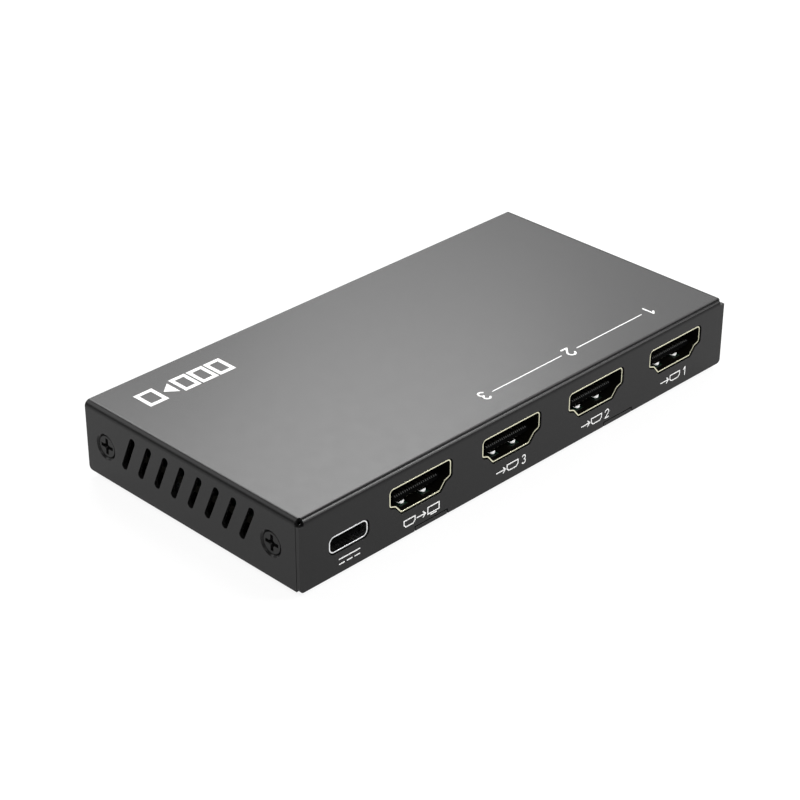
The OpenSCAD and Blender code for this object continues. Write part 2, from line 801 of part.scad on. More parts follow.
// Crystal can that clocks the controller
module crystal() {
    color("#c8cacc") on_board(crystal_at, crystal_size);
}

// Step-down converter for the chips' supply, with leads on two sides
module voltage_regulator() {
    leads_per_side = 4;
    lead_pitch = 1.27;
    lead_out = 0.2;
    color("#232325") {
        on_board(regulator_at, regulator_size, lead_size.z);
        for (s = [-1, 1], k = [0:leads_per_side - 1])
            on_board(
                regulator_at + [
                    (k - (leads_per_side - 1) / 2) * lead_pitch, s * (regulator_size.y / 2 + lead_out)],
                [lead_size.x, lead_size.y, 2 * lead_size.z]);
    }
}

// Choke of the step-down converter
module power_inductor() {
    corner = 1;
    outline = grown([[-1, -1], [1, -1], [1, 1], [-1, 1]], inductor_size.x / 2 - 1);
    color("#3a3a3d") translate([inductor_at.x, inductor_at.y, board_top])
        linear_extrude(inductor_size.z) polygon(rounded(outline, corner * [1, 1, 1, 1]));
}

// Two can capacitors on their square bases
module bulk_capacitors() {
    base_t = 0.9;
    base_rim = 0.15;
    base_w = capacitor_d + 2 * base_rim;
    color("#b4b7ba") for (p = capacitors_at) {
        on_board(p, [base_w, base_w, base_t]);
        translate([p.x, p.y, board_top]) cylinder(d = capacitor_d, h = capacitor_h);
    }
}

// Small capacitors in rows round the heat sink
module ceramic_capacitors() {
    color("#a88f6c") for (turn = [0:90:270], k = [0:ceramics_per_side - 1])
        translate([chip_at.x, chip_at.y, board_top]) rotate(turn)
            translate([
                (k - (ceramics_per_side - 1) / 2) * ceramic_pitch - ceramic_size.x / 2, ceramic_ring, 0])
                cube(ceramic_size);
}

// Surge protectors behind the video sockets
module esd_arrays() {
    color("#262628") for (i = [0:len(ports) - 1], s = [-1, 1])
        on_board([port_x(i) + s * esd_offset, esd_y], esd_size);
}

// Housing of the tact switch with the bore and chamber for its plunger
module select_switch() {
    chamber_y = switch_front_y - switch_d + switch_wall;
    color("#2e2e30") difference() {
        on_board([button_x, switch_front_y - switch_d / 2], [switch_w, switch_d, switch_h]);
        translate([button_x, switch_front_y + cut, control_z]) rotate([90, 0, 0])
            cylinder(d = plunger_d + 2 * slide_gap, h = switch_wall + 2 * cut);
        translate([button_x, switch_front_y - switch_wall, control_z]) rotate([90, 0, 0])
            cylinder(d = collar_d + 2 * slide_gap, h = switch_front_y - switch_wall - chamber_y);
    }
}

// Plunger of the tact switch with the collar that keeps it in
module switch_plunger() {
    color("#d8d8d4") translate([button_x, 0, control_z]) rotate([-90, 0, 0]) {
        translate([0, 0, collar_y]) cylinder(d = plunger_d, h = plunger_tip_y - collar_y);
        translate([0, 0, collar_y]) cylinder(d = collar_d, h = collar_t);
    }
}

// Cap of the select button: bevelled head, retaining flange and the sleeve over the plunger
module select_button() {
    head_y = half_w + button_proud;
    color("#2a2a2c") translate([button_x, 0, control_z]) rotate([-90, 0, 0]) difference() {
        union() {
            translate([0, 0, button_flange_y]) cylinder(d = button_flange_d, h = button_flange_t);
            translate([0, 0, button_flange_y])
                cylinder(d = button_d, h = head_y - button_edge - button_flange_y);
            translate([0, 0, head_y - button_edge])
                cylinder(d1 = button_d, d2 = button_d - 2 * button_edge, h = button_edge);
            translate([0, 0, sleeve_y]) cylinder(d = sleeve_d, h = sleeve_len + cut);
        }
        translate([0, 0, sleeve_y - cut]) cylinder(d = plunger_d + 2 * plunger_fit, h = plunger_seat + cut);
    }
}

// Four lights under the feet of the light pipes
module status_leds() {
    color("#e9e4c8") for (x = light_xs) on_board([x, light_foot_y], led_size);
}

// Light pipes: a foot over each light, a slanted mirror face and a rod through the panel
module light_pipes() {
    pocket = [for (k = [0:2]) led_size[k] + 2 * led_pocket_gap];
    foot_top = control_h + light_d / 2;
    color("#e4e8ea") for (x = light_xs) difference() {
        union() {
            on_board([x, light_foot_y], [light_foot, light_foot, foot_top]);
            translate([x, light_foot_y, control_z]) rotate([-90, 0, 0])
                cylinder(d = light_d, h = half_w - light_foot_y);
        }
        on_board([x, light_foot_y], [pocket.x, pocket.y, led_size.z + led_pocket_gap], -0.01);
        translate([x, light_foot_y - light_foot / 2, board_top + foot_top]) rotate([45, 0, 0])
            cube([light_foot + cut, light_foot, 2 * light_foot * sin(45)], center = true);
    }
}

// Infrared receiver with its lens and three leads
module ir_receiver() {
    lead_pitch = 1.5;
    lead_w = 0.5;
    color("#1e1b22") {
        on_board(
            [window_x, receiver_front_y - receiver_d / 2],
            [receiver_w, receiver_d, receiver_h], receiver_lift);
        translate([window_x, receiver_front_y, control_z]) intersection() {
            sphere(receiver_dome_r);
            translate([-receiver_w / 2, -cut, -receiver_w / 2]) cube(receiver_w);
        }
        for (k = [-1:1]) on_board(
            [window_x + k * lead_pitch, receiver_front_y - receiver_d / 2],
            [lead_w, lead_w, 2 * receiver_lift]);
    }
}

// Dark window in front of the receiver, flush with the control panel
module ir_window() {
    color("#2a0d12") translate([window_x, 0, control_z]) rotate([-90, 0, 0]) {
        translate([0, 0, panel_in_y - window_flange])
            cylinder(d = window_d, h = half_w - panel_in_y + window_flange);
        translate([0, 0, panel_in_y - window_flange])
            cylinder(d = window_d + 2 * window_flange_w, h = window_flange);
    }
}

top_cover();
bottom_tray();
side_screws();
rubber_feet();
main_board();
board_standoffs();
board_screws();
for (i = [0:len(ports) - 1]) {
    hdmi_shell(i);
    hdmi_insulator(i);
    hdmi_contacts(i);
}
usb_c_shell();
usb_c_insulator();
usb_c_contacts();
switch_chip();
thermal_pad();
heat_sink();
controller_chip();
crystal();
voltage_regulator();
power_inductor();
bulk_capacitors();
ceramic_capacitors();
esd_arrays();
select_switch();
switch_plunger();
select_button();
status_leds();
light_pipes();
ir_receiver();
ir_window();
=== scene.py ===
"""Looks of the video switch box: finishes, printed marks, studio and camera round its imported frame.

Lengths are in millimetres and angles in degrees. MM turns lengths into Blender's metres.
"""

import math

import bpy
import numpy as np
from mathutils import Matrix, Vector


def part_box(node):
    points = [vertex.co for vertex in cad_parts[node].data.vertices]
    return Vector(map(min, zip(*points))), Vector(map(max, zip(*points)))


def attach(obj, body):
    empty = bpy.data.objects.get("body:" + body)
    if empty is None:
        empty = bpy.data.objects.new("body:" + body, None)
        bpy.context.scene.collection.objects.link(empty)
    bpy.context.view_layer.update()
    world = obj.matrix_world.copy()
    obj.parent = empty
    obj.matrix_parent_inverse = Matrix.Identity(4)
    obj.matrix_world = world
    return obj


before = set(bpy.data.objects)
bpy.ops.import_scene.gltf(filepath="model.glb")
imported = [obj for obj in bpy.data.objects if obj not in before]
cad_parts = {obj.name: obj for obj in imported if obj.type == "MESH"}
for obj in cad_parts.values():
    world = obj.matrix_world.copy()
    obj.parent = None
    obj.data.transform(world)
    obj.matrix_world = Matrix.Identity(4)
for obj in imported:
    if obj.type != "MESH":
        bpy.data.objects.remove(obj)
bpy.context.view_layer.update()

MM = 0.001
PORTS = ("output", "input_3", "input_2", "input_1")
case_low, case_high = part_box("top_cover")
tray_low, tray_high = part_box("bottom_tray")

# Camera, fitted to the edges of the case in the photograph
CAMERA_AZIMUTH = -45.075
CAMERA_ELEVATION = 30.046
CAMERA_ROLL = 0.062
CAMERA_DISTANCE = 419.5
CAMERA_AIM_RIGHT = -3.298
CAMERA_AIM_UP = 2.462
CAMERA_FOCAL_PX = 2225.5
CAMERA_NEAR = 10
CAMERA_FAR = 100000
IMAGE_PX = 800
SENSOR_WIDTH = 36

# Studio: the floor's size, and the brightness of floor and sky, where 1 is white
WHITE = (1, 1, 1, 1)
FLOOR_SIZE = 6000
FLOOR_DROP = 0.02
FLOOR_GLOW = 0.88
FLOOR_SHADE = 0.14
FLOOR_BOUNCE = 0.8
SKY_RIM = 0.6
SKY_TOP = 0.15
SKY_AMBIENT = 0.20
# Sines of the elevations between which the sky goes from rim to top
SKY_RISE = (0.1, 0.7)
# Soft boxes: azimuth, elevation, distance, width, height and brightness
SOFT_BOXES = {
    "back_box": (143.4, 48.5, 1400, 631, 900, 8.2),
    "back_right_box": (120.6, 38.9, 1400, 917, 740, 2.9),
    "right_box": (42.7, 28.2, 1400, 463, 576, 6.0),
    "right_high_box": (46.7, 42.9, 1400, 260, 348, 26.0),
    "left_box": (-155.2, 38.9, 1400, 1000, 752, 2.6),
    "front_box": (-40, 42, 900, 500, 400, 4.0),
    "far_front_box": (2, 22, 1600, 1000, 420, 2.0),
    "far_left_box": (-88, 24, 1600, 900, 420, 2.0),
}

# Colours of the finishes
PAINT = (0.0056, 0.0055, 0.0056)
PAINT_EDGE = (0.022, 0.022, 0.022)
INK_WHITE = (0.84, 0.84, 0.84)
INK_THIN = (0.74, 0.74, 0.73)
PALE_GOLD = (0.80, 0.78, 0.58)
DULL_GOLD = (0.13, 0.12, 0.10)
# Near black on the contacts' front ends
CONTACT_FRONT_BLACK = (0.006, 0.006, 0.005)
# Painted shade deep in the video sockets' shells
PAINTED_SHELL_SHADE = (0.012, 0.011, 0.008)
BRIGHT_STEEL = (0.92, 0.93, 0.94)
ZINC = (0.62, 0.63, 0.65)
TIN = (0.62, 0.63, 0.64)
# Painted highlight on the spring fingers' tips
PAINTED_FINGER_HIGHLIGHT = (0.95, 0.95, 0.94)
ALUMINIUM = (0.70, 0.71, 0.72)
CAN = (0.72, 0.73, 0.74)
CAN_PRINT = (0.012, 0.012, 0.013)
BLACKENED = (0.007, 0.007, 0.007)
INSULATOR = (0.001, 0.001, 0.001)
RIB = (0.05, 0.05, 0.05)
RUBBER = (0.014, 0.014, 0.014)
COATING = (0.002, 0.010, 0.006)
COATED_TRACK = (0.006, 0.030, 0.016)
FIBRE = (0.016, 0.014, 0.008)
CHIP_BLACK = (0.014, 0.014, 0.015)
CERAMIC = (0.36, 0.25, 0.14)
FERRITE = (0.035, 0.035, 0.037)
PAD_BLUE = (0.25, 0.34, 0.42)
SWITCH_BLACK = (0.012, 0.012, 0.013)
PLUNGER_WHITE = (0.6, 0.6, 0.57)
BUTTON_BLACK = (0.018, 0.018, 0.019)
LAMP_AMBER = (0.80, 0.72, 0.42)
FROSTED = (0.80, 0.84, 0.86)
RECEIVER_BLACK = (0.012, 0.009, 0.014)
WINDOW_RED = (0.030, 0.005, 0.008)

# The run of values that a noise has over most of a surface
NOISE_RUN = (0.3, 0.7)
# Video sockets: height of their middle, depths over which painted shade darkens the shells, and their
# roughness behind that
SOCKET_MIDDLE_Z = 9.0
RIM_DEPTHS = (0.04, 0.20)
SHELL_DULL = 0.55
# Painted highlight on the spring fingers' tips: distance from the socket's middle, half width, depths and
# levels
FINGER_ASIDE = 2.65
FINGER_HALF = 0.82
FINGER_DEPTHS = (1.6, 2.5)
FINGER_LEVELS = (2.28, 2.75)
# Ribs on the tongue's upper lip: pitch, half width, reach to each side, depths and lowest height
RIB_PITCH = 0.5
RIB_HALF = 0.11
RIB_REACH = 5.2
RIB_DEPTHS = (1.08, 1.45)
RIB_LOW_Z = 8.85
# Depth in their socket up to which the contacts are near black
CONTACT_BLACK_DEPTH = 1.38
# Screws: pitch of the rings on their heads, and width of the painted shade in the gap round a head
SCREW_RING = 0.16
SCREW_GAP = 0.24
# Feet: radius, pitch of the rings under them, and how much of the grain is added to the rings
FOOT_RADIUS = 4.0
FOOT_RING = 0.9
RUBBER_GRAIN = 0.6
# Board: size of the patches of tracks, shares of them that run crosswise or are bare, and track sizes
PATCH = 7.0
PATCH_CROSSWISE = 0.5
PATCH_BARE = 0.35
TRACK_PITCH = 0.9
TRACK_HALF = 0.13
# Largest upward part of the normal on the board's edges
EDGE_UP = 0.5
# Capacitor cans: half width, height of their bases, and distance of the print's edge from a can's middle
CAN_HALF = 2.65
CAN_BASE = 0.9
CAN_PRINT_EDGE = 0.9
# Chips: half sizes of their bodies, how much paler the first lead's mark is, and roughness
SWITCH_BODY = (6.0, 6.0)
CONTROLLER_BODY = (3.5, 3.5)
REGULATOR_BODY = (2.5, 2.0)
MARK_PALER = 3.0
CHIP_ROUGH = 0.6
TIN_ROUGH = 0.3
# Small parts with tinned ends: places, pitches and half lengths of their bodies, and the choke's clip
SURGE_ASIDE = 2.6
SURGE_BODY = 0.95
CERAMIC_PITCH = 2.0
CERAMIC_BODY = 0.25
CHOKE_CLIP = 2.0
# Depth below a face that still counts as that face
FACE_SKIN = 0.02

# Ink: thickness of its film, how far it sinks into the paint, what each next mark adds, and line widths
INK_FILM = 0.02
INK_SINK = 0.02
INK_PASS = 0.0004
INK_LINE = 0.23
INK_ROW = 0.38
INK_BOLD = 0.8
# Steps along arcs in degrees, and steps and first angle in radians of a stroke's round end
ARC_STEP = 9
END_STEPS = 6
END_START = 0.15
# Signs: heights of figures and sockets, shares of a socket's height and width, and an arrow's head
FIGURE_HEIGHT = 1.7
SOCKET_HEIGHT = 1.3
SOCKET_STEP = 0.38
SOCKET_FOOT = 0.17
ARROW_HEAD = 0.55
ARROW_GAP = 0.1
# Signs on the port side, from each socket's middle: heights, then start and length or middle and width
LABEL_Z = 3.55
POWER_LABEL_Z = 3.25
OUTPUT_SOCKET = (-2.9, 2.7)
OUTPUT_ARROW = (-1.1, 2.1)
SCREEN_SPAN = (1.6, 4.4)
SCREEN_RISE = (-0.5, 0.85)
STAND_SPAN = (2.3, 3.7)
STAND_RISE = -0.85
INPUT_ARROW = (-3.9, 2.3)
INPUT_SOCKET = (0.3, 2.9)
INPUT_FIGURE = 3.3
# Direct current: half the bar's length, half the gap below it, and the dashes' pitch and half length
CURRENT_HALF = 2.4
CURRENT_GAP = 0.5
DASH_PITCH = 1.8
DASH_HALF = 0.55
# Top plate, as read from the control side: the row of frames with its arrowhead, and the row of figures
FRAME_ROW = -20.45
FRAME_HALF = 2.1
FRAME_START = 29.4
FRAME_PITCH = 4.1
FRAME_WIDTH = 2.9
HEAD_SPAN = (41.7, 44.0)
HEAD_HALF = 1.9
LAST_START = 45.2
LAST_WIDTH = 3.4
FIGURE_ROW = 21.0
ROW_HEIGHT = 2.6
ROW_GAP = 2.2
# Control side: height of the signs, diameter of a light's foot, and the signs' radii, arcs and offsets
CONTROL_LABEL_Z = 5.4
LIGHT_FOOT = 2.6
STANDBY_RADIUS = 0.75
STANDBY_ARC = (55, -235)
STANDBY_BAR = (0.15, 1.0)
WAVE_RADII = (0.75, 1.4, 2.05)
WAVE_ARC = (45, 135)
WAVE_DROP = 1.3
STEP_RADIUS = 0.8
STEP_ARC = (60, 360)
STEP_DROP = 0.4
STEP_HEAD = (0.45, 0.35)


# Helpers for shader nodes

def put(tree, kind, inputs=None, **settings):
    """Adds a shader node. Its inputs are numbers, tuples or sockets, and settings are its properties."""
    node = tree.nodes.new("ShaderNode" + kind)
    for key, value in settings.items():
        setattr(node, key, value)
    for key, value in (inputs or {}).items():
        if isinstance(value, bpy.types.NodeSocket):
            tree.links.new(value, node.inputs[key])
        else:
            node.inputs[key].default_value = value
    return node


def link(tree, socket, target):
    """Feeds a socket into an input."""
    tree.links.new(socket, target)


def maths(tree, operation, *values):
    """One step of arithmetic on numbers or sockets."""
    return put(tree, "Math", dict(enumerate(values)), operation=operation).outputs[0]


def spread(tree, value, low, high, start=0.0, end=1.0):
    """The value's run from start to end stretched over low to high, and clamped there."""
    inputs = {"Value": value, "From Min": start, "From Max": end, "To Min": low, "To Max": high}
    return put(tree, "MapRange", inputs).outputs[0]


def noise_spread(tree, noise, low, high):
    """A noise's usual run of values stretched over low to high."""
    return spread(tree, noise, low, high, *NOISE_RUN)


def choice(tree, share, first, second):
    """A number between two numbers, by a share from 0 to 1."""
    return put(tree, "Mix", {0: share, 2: first, 3: second}).outputs[0]


def between(tree, share, first, second):
    """A colour between two colours, by a share from 0 to 1."""
    return put(tree, "Mix", {0: share, 6: first, 7: second}, data_type="RGBA").outputs[2]


def rgba(colour, factor=1.0):
    """A colour of three numbers, scaled, as Blender's four."""
    return (*(c * factor for c in colour), 1.0)


def shades(tree, share, colour, dark, pale=1.0):
    """A colour that runs from its dark to its pale shade, by a share from 0 to 1."""
    return between(tree, share, rgba(colour, dark), rgba(colour, pale))


def axes_of(tree):
    """The X, Y and Z sockets of the piece's own coordinates, in millimetres."""
    place = put(tree, "TexCoord").outputs["Object"]
    scaled = put(tree, "VectorMath", {0: place, "Scale": 1 / MM}, operation="SCALE").outputs[0]
    return put(tree, "SeparateXYZ", {0: scaled}).outputs


def away(tree, value, place):
    """How far a value is from a place, without its sign."""
    return maths(tree, "ABSOLUTE", maths(tree, "SUBTRACT", value, place))


def below(tree, value, limit):
    """1 where the value is below the limit."""
    return maths(tree, "LESS_THAN", value, limit)


def above(tree, value, limit):
    """1 where the value is above the limit."""
    return maths(tree, "GREATER_THAN", value, limit)


def both(tree, *masks):
    """1 where all the masks are 1."""
    result = masks[0]
    for mask in masks[1:]:
        result = maths(tree, "MULTIPLY", result, mask)
    return result


def either(tree, first, second):
    """The larger of two masks or values."""
    return maths(tree, "MAXIMUM", first, second)


def opposite(tree, mask):
    """1 where the mask is 0."""
    return maths(tree, "SUBTRACT", 1.0, mask)


def within(tree, value, limits):
    """1 where the value lies between two limits."""
    return both(tree, above(tree, value, limits[0]), below(tree, value, limits[1]))


def radius_from(tree, first, second):
    """Length of the vector that two offsets make."""
    squares = [maths(tree, "MULTIPLY", offset, offset) for offset in (first, second)]
    return maths(tree, "SQRT", maths(tree, "ADD", *squares))


def ring_waves(tree, radius, pitch):
    """Waves of the given pitch along a radius, as concentric rings have them."""
    return maths(tree, "SINE", maths(tree, "MULTIPLY", radius, 2 * math.pi / pitch))


def bumped(tree, height, depth, strength, normal=None):
    """A normal from a height map whose full range is depth millimetres."""
    inputs = {"Height": height, "Distance": depth * MM, "Strength": strength}
    if normal is not None:
        inputs["Normal"] = normal
    return put(tree, "Bump", inputs).outputs[0]


def middle(node):
    """The middle of a node's box, in millimetres."""
    low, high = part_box(node)
    return [(a + b) / 2 / MM for a, b in zip(low, high)]


def half_size(node):
    """Half of the size of a node's box, in millimetres."""
    low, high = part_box(node)
    return [(b - a) / 2 / MM for a, b in zip(low, high)]


# Effects that several finishes share

def new_group(name, inputs, outputs):
    """An empty node group with named number inputs and outputs of the given kinds."""
    tree = bpy.data.node_groups.new(name, "ShaderNodeTree")
    for label, value in inputs.items():
        socket = tree.interface.new_socket(label, in_out="INPUT", socket_type="NodeSocketFloat")
        socket.default_value = value
    for label, kind in outputs.items():
        tree.interface.new_socket(label, in_out="OUTPUT", socket_type="NodeSocket" + kind)
    return tree, tree.nodes.new("NodeGroupInput").outputs, tree.nodes.new("NodeGroupOutput").inputs


def place_group(tree, group, **values):
    """Puts a node group into a material with its own values, and returns its outputs."""
    node = put(tree, "Group", node_tree=group)
    for key, value in values.items():
        node.inputs[key.replace("_", " ").capitalize()].default_value = value
    return node.outputs


def make_grain_group():
    """Two layers of noise: a fine Height for bump, and a slow Cloud for shade. Sizes are in millimetres."""
    tree, given, result = new_group(
        "surface_grain", {"Grain": 0.2, "Cloud": 8.0}, {"Height": "Float", "Cloud": "Float"})
    place = put(tree, "TexCoord").outputs["Object"]
    for size, label, detail in (("Grain", "Height", 3.0), ("Cloud", "Cloud", 2.0)):
        scale = maths(tree, "DIVIDE", 1 / MM, given[size])
        noise = put(tree, "TexNoise", {"Vector": place, "Scale": scale, "Detail": detail})
        link(tree, noise.outputs[0], result[label])
    return tree


def make_line_group():
    """Drawn lines: noise that is stretched by its own length along each axis, in millimetres."""
    tree, given, result = new_group(
        "drawn_lines", {"Along x": 0.1, "Along y": 4.0, "Along z": 0.1}, {"Value": "Float"})
    axes = axes_of(tree)
    stretched = [maths(tree, "DIVIDE", axes[k], given["Along " + "xyz"[k]]) for k in range(3)]
    place = put(tree, "CombineXYZ", dict(enumerate(stretched))).outputs[0]
    noise = put(tree, "TexNoise", {"Vector": place, "Scale": 1.0, "Detail": 2.0})
    link(tree, noise.outputs[0], result["Value"])
    return tree


def make_edge_group():
    """Edges softened by a radius in millimetres: the rounded Normal, and a Mask that is 1 on an edge."""
    tree, given, result = new_group("soft_edges", {"Radius": 0.08}, {"Normal": "Vector", "Mask": "Float"})
    radius = maths(tree, "MULTIPLY", given["Radius"], MM)
    rounded = put(tree, "Bevel", {"Radius": radius}, samples=6).outputs[0]
    plain = put(tree, "NewGeometry").outputs["Normal"]
    match = put(tree, "VectorMath", {0: rounded, 1: plain}, operation="DOT_PRODUCT").outputs["Value"]
    link(tree, rounded, result["Normal"])
    link(tree, spread(tree, match, low=1.0, high=0.0, start=0.75, end=0.99), result["Mask"])
    return tree


GRAIN = make_grain_group()
LINES = make_line_group()
EDGES = make_edge_group()


# Finishes

def new_finish(name):
    """A material with one Principled shader. Returns the material, its tree and the shader's inputs."""
    material = bpy.data.materials.new(name)
    material.use_nodes = True
    tree = material.node_tree
    tree.nodes.clear()
    shader = put(tree, "BsdfPrincipled")
    output = put(tree, "OutputMaterial")
    link(tree, shader.outputs[0], output.inputs["Surface"])
    return material, tree, shader.inputs


def painted_steel():
    """Satin powder coat: near black, finely pebbled, and a little paler where its edges are rubbed."""
    material, tree, shader = new_finish("painted_steel")
    grain = place_group(tree, GRAIN, grain=0.14, cloud=3.0)
    edges = place_group(tree, EDGES, radius=0.06)
    patchy = spread(tree, grain["Cloud"], low=0.0, high=0.6, start=0.35, end=0.65)
    rubbed = both(tree, edges["Mask"], patchy)
    shade = shades(tree, grain["Cloud"], PAINT, dark=0.94, pale=1.06)
    pebbles = bumped(tree, grain["Height"], depth=0.01, strength=0.02, normal=edges["Normal"])
    link(tree, between(tree, rubbed, shade, rgba(PAINT_EDGE)), shader["Base Color"])
    link(tree, noise_spread(tree, grain["Cloud"], low=0.24, high=0.26), shader["Roughness"])
    link(tree, pebbles, shader["Normal"])
    shader["Specular IOR Level"].default_value = 0.19
    return material


def printed_ink():
    """Screen-printed white: matt, with a fine grain in its height."""
    material, tree, shader = new_finish("printed_ink")
    grain = place_group(tree, GRAIN, grain=0.07, cloud=1.2)
    link(tree, between(tree, grain["Cloud"], rgba(INK_THIN), rgba(INK_WHITE)), shader["Base Color"])
    link(tree, noise_spread(tree, grain["Cloud"], low=0.5, high=0.62), shader["Roughness"])
    link(tree, bumped(tree, grain["Height"], depth=0.01, strength=0.1), shader["Normal"])
    shader["Specular IOR Level"].default_value = 0.3
    return material


def moulded(name, colour, rough, grain_size):
    """Moulded plastic or a soft pad: fine spark texture, with cloudy shade and gloss."""
    material, tree, shader = new_finish(name)
    grain = place_group(tree, GRAIN, grain=grain_size, cloud=2.5)
    edges = place_group(tree, EDGES, radius=0.05)
    sparks = bumped(tree, grain["Height"], depth=0.02, strength=0.15, normal=edges["Normal"])
    link(tree, shades(tree, grain["Cloud"], colour, dark=0.85, pale=1.15), shader["Base Color"])
    link(tree, noise_spread(tree, grain["Cloud"], low=rough - 0.05, high=rough + 0.05), shader["Roughness"])
    link(tree, sparks, shader["Normal"])
    shader["Specular IOR Level"].default_value = 0.4
    return material


def plated(name, colour, rough, along):
    """Plated or bare metal with drawn lines, whose lengths along X, Y and Z are given in millimetres."""
    material, tree, shader = new_finish(name)
    lines = place_group(tree, LINES, along_x=along[0], along_y=along[1], along_z=along[2])
    grain = place_group(tree, GRAIN, grain=0.1, cloud=1.5)
    edges = place_group(tree, EDGES, radius=0.03)
    tarnish = spread(tree, grain["Cloud"], low=0.0, high=1.0, start=0.35, end=0.7)
    scratches = bumped(tree, lines["Value"], depth=0.01, strength=0.08, normal=edges["Normal"])
    link(tree, between(tree, tarnish, rgba(colour), rgba(colour, factor=0.8)), shader["Base Color"])
    link(tree, noise_spread(tree, lines["Value"], low=rough - 0.06, high=rough + 0.08), shader["Roughness"])
    link(tree, scratches, shader["Normal"])
    shader["Metallic"].default_value = 1.0
    return material


def clear_plastic(name, colour, rough, clearness):
    """Clear or tinted acrylic: cloudy gloss over a faint flow of the moulding."""
    material, tree, shader = new_finish(name)
    grain = place_group(tree, GRAIN, grain=0.5, cloud=1.5)
    edges = place_group(tree, EDGES, radius=0.08)
    flow = bumped(tree, grain["Height"], depth=0.01, strength=0.1, normal=edges["Normal"])
    link(tree, shades(tree, grain["Cloud"], colour, dark=0.92), shader["Base Color"])
    link(tree, noise_spread(tree, grain["Cloud"], low=rough - 0.04, high=rough + 0.04), shader["Roughness"])
    link(tree, flow, shader["Normal"])
    shader["Transmission Weight"].default_value = clearness
    shader["IOR"].default_value = 1.49
    return material


def socket_axes(tree):
    """Place in the nearest video socket: across from its middle, depth from its mouth, and height."""
    axes = axes_of(tree)
    first = middle("hdmi_output_shell")[0]
    half_step = (middle("hdmi_input_3_shell")[0] - first) / 2
    across = maths(tree, "WRAP", maths(tree, "SUBTRACT", axes["X"], first), half_step, -half_step)
    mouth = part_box("hdmi_output_shell")[0].y / MM
    return across, maths(tree, "SUBTRACT", axes["Y"], mouth), axes["Z"]


def socket_shell():
    """Pale gold on the mouth's rim, dull with painted shade deeper in, and a painted white highlight on the
    spring fingers' tips.
    """
    material, tree, shader = new_finish("pale_gold_shell")
    lines = place_group(tree, LINES, along_x=0.05, along_y=5.0, along_z=0.05)
    edges = place_group(tree, EDGES, radius=0.03)
    across, depth, height = socket_axes(tree)
    aside = away(tree, maths(tree, "ABSOLUTE", across), FINGER_ASIDE)
    level = away(tree, height, SOCKET_MIDDLE_Z)
    # Painted highlight: the mask tin below is a near-white matt patch on the spring fingers' tips.
    tip = both(tree, within(tree, depth, FINGER_DEPTHS), within(tree, level, FINGER_LEVELS))
    tin = both(tree, below(tree, aside, FINGER_HALF), tip)
    # Painted shade: the shell turns near black past the rim's depths, except on the fingers' tips.
    painted_inside_shade = both(tree, spread(tree, depth, 0.0, 1.0, *RIM_DEPTHS), opposite(tree, tin))
    drawn = noise_spread(tree, lines["Value"], low=0.0, high=1.0)
    gold = between(tree, drawn, rgba(PALE_GOLD), rgba(PALE_GOLD, factor=0.86))
    shaded = between(tree, painted_inside_shade, gold, rgba(PAINTED_SHELL_SHADE))
    rough = noise_spread(tree, lines["Value"], low=0.16, high=0.28)
    dull = maths(tree, "MULTIPLY", either(tree, tin, painted_inside_shade), SHELL_DULL)
    scratches = bumped(tree, lines["Value"], depth=0.01, strength=0.05, normal=edges["Normal"])
    link(tree, between(tree, tin, shaded, rgba(PAINTED_FINGER_HIGHLIGHT)), shader["Base Color"])
    link(tree, opposite(tree, tin), shader["Metallic"])
    link(tree, either(tree, rough, dull), shader["Roughness"])
    link(tree, scratches, shader["Normal"])
    return material


def socket_insulator():
    """Black moulding, with fine paler ribs on the upper lip of each video socket's tongue."""
    material, tree, shader = new_finish("ribbed_insulator")
    grain = place_group(tree, GRAIN, grain=0.08, cloud=2.5)
    across, depth, height = socket_axes(tree)
    rib = below(tree, maths(tree, "PINGPONG", across, RIB_PITCH / 2), RIB_HALF)
    lip = both(tree, within(tree, depth, RIB_DEPTHS), above(tree, height, RIB_LOW_Z))
    ribs = both(tree, rib, lip, below(tree, maths(tree, "ABSOLUTE", across), RIB_REACH))
    body = shades(tree, grain["Cloud"], INSULATOR, dark=0.85, pale=1.15)
    link(tree, between(tree, ribs, body, rgba(RIB)), shader["Base Color"])
    link(tree, noise_spread(tree, grain["Cloud"], low=0.62, high=0.72), shader["Roughness"])
    link(tree, bumped(tree, grain["Height"], depth=0.02, strength=0.15), shader["Normal"])
    shader["Specular IOR Level"].default_value = 0.01
    return material


def socket_contact():
    """Contacts: dull gold plating with drawn lines, and near-black front ends nearest the mouth."""
    material, tree, shader = new_finish("dull_gold_contact")
    lines = place_group(tree, LINES, along_x=0.03, along_y=1.0, along_z=0.03)
    grain = place_group(tree, GRAIN, grain=0.1, cloud=1.0)
    depth = socket_axes(tree)[1]
    plating = shades(tree, grain["Cloud"], DULL_GOLD, dark=0.85, pale=1.1)
    # The contacts are near black where they lie nearer the mouth than a set depth.
    link(tree, between(tree, below(tree, depth, CONTACT_BLACK_DEPTH), plating, rgba(CONTACT_FRONT_BLACK)), shader["Base Color"])
    link(tree, noise_spread(tree, lines["Value"], low=0.29, high=0.43), shader["Roughness"])
    link(tree, bumped(tree, lines["Value"], depth=0.01, strength=0.08), shader["Normal"])
    shader["Metallic"].default_value = 1.0
    return material


